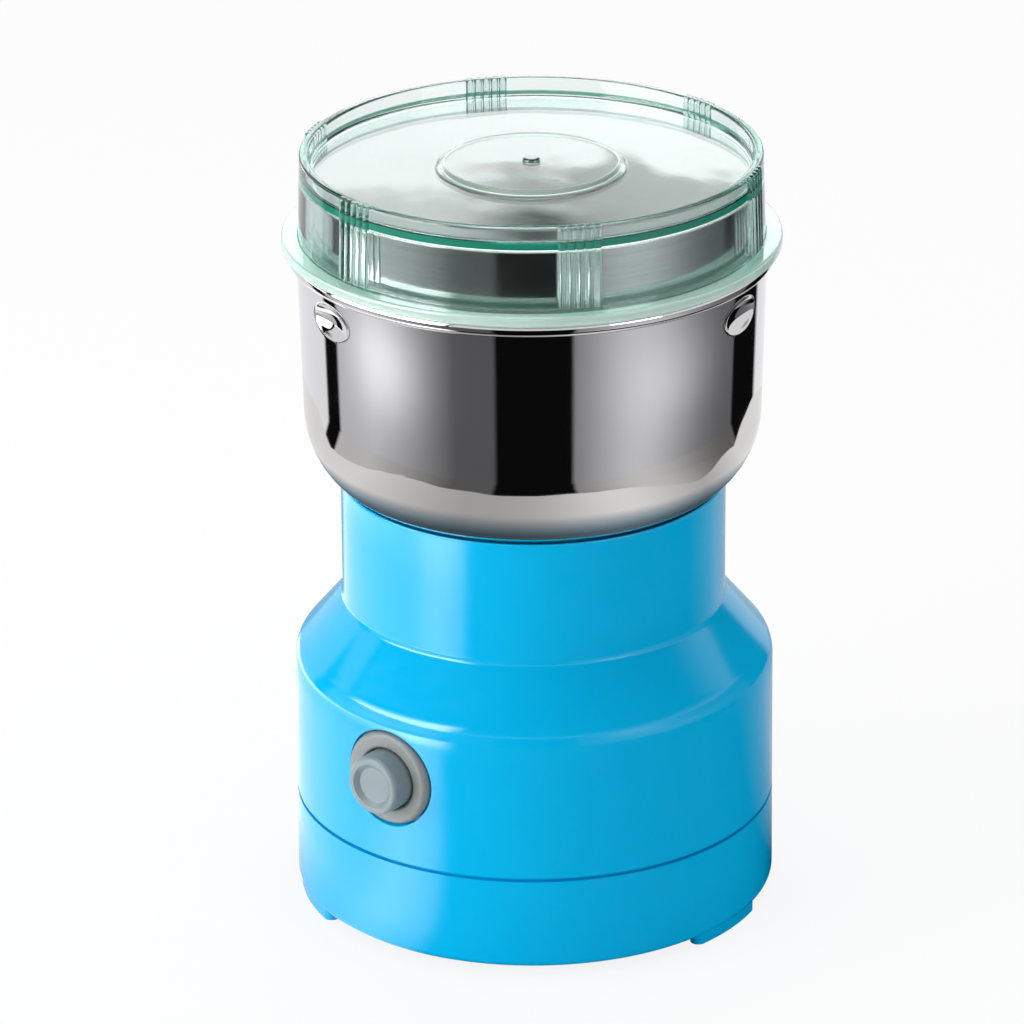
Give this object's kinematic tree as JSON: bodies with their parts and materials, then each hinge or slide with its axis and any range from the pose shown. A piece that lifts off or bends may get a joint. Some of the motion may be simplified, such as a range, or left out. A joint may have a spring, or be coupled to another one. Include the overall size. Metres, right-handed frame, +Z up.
{
  "type": "electric spice grinder",
  "caption": "Electric spice grinder: waisted moulded body, polished steel bowl with a four-leaf blade, clear lift-off lid and a sprung push button.",
  "frame": {"origin": "centre of the round body, on the plane that the three feet rest on", "axes": "+Z up along the motor shaft, the push button towards -Y, the cord inlet towards +Y"},
  "size_m": [0.107, 0.1131, 0.1696],
  "materials": {
    "blue_plastic": "moulded, glossy",
    "polished_steel": "mirror polished stainless steel",
    "clear_green_plastic": "clear moulded plastic with a green tint",
    "light_grey_plastic": "fine satin",
    "slate_plastic": "fine satin",
    "black_plastic": "satin",
    "white_nylon": "satin",
    "black_rubber": "matte",
    "zinc_steel": "zinc plated",
    "turned_steel": "fine turned",
    "ground_steel": "ground and polished",
    "spring_steel": "drawn",
    "laminated_steel": "stacked laminations",
    "cast_metal": "turned",
    "bronze": "sintered",
    "brass": "folded strip",
    "copper_bars": "turned",
    "enamelled_copper": "varnished wire",
    "carbon": "pressed graphite",
    "fibre": "pressed fibre"
  },
  "bodies": {
    "body": {"housing": "blue_plastic", "base_cover": "blue_plastic", "base_screws": "zinc_steel", "cord_inlet": "black_rubber", "bowl_shell": "polished_steel", "bowl": "polished_steel", "bearing_hub": "cast_metal", "hub_nut": "cast_metal", "bowl_gasket": "black_rubber", "motor_damper": "black_rubber", "shaft_seal": "black_rubber", "upper_bearing": "bronze", "lower_bearing": "bronze", "upper_bracket": "white_nylon", "lower_bracket": "white_nylon", "motor_screws": "zinc_steel", "stator_core": "laminated_steel", "field_coil_left": "enamelled_copper", "field_coil_right": "enamelled_copper", "brush_holder_front": "brass", "brush_holder_rear": "brass", "carbon_brush_front": "carbon", "carbon_brush_rear": "carbon", "brush_spring_front": "spring_steel", "brush_spring_rear": "spring_steel", "button_bezel": "light_grey_plastic", "switch_nut": "black_plastic", "switch_body": "black_plastic", "switch_terminals": "brass"},
    "lid": {"lid": "clear_green_plastic"},
    "button": {"button_cap": "slate_plastic"},
    "rotor": {"shaft": "turned_steel", "armature_core": "laminated_steel", "armature_winding": "enamelled_copper", "commutator": "copper_bars", "cooling_fan": "black_plastic", "thrust_washers": "fibre", "blade": "ground_steel", "blade_washers": "turned_steel", "blade_nut": "turned_steel"}
  },
  "joints": [
    {"name": "lid_lift", "type": "slide", "parent": "body", "child": "lid", "axis": [0, 0, 1], "range_m": [0, 0.06]},
    {"name": "button_press", "type": "slide", "parent": "body", "child": "button", "axis": [0, 1, 0], "range_m": [0, 0.003], "stiffness_N_per_m": 600, "springref_m": -0.002},
    {"name": "blade_spin", "type": "hinge", "parent": "body", "child": "rotor", "pos_m": [0, 0, 0.1], "axis": [0, 0, 1], "continuous": true}
  ]
}
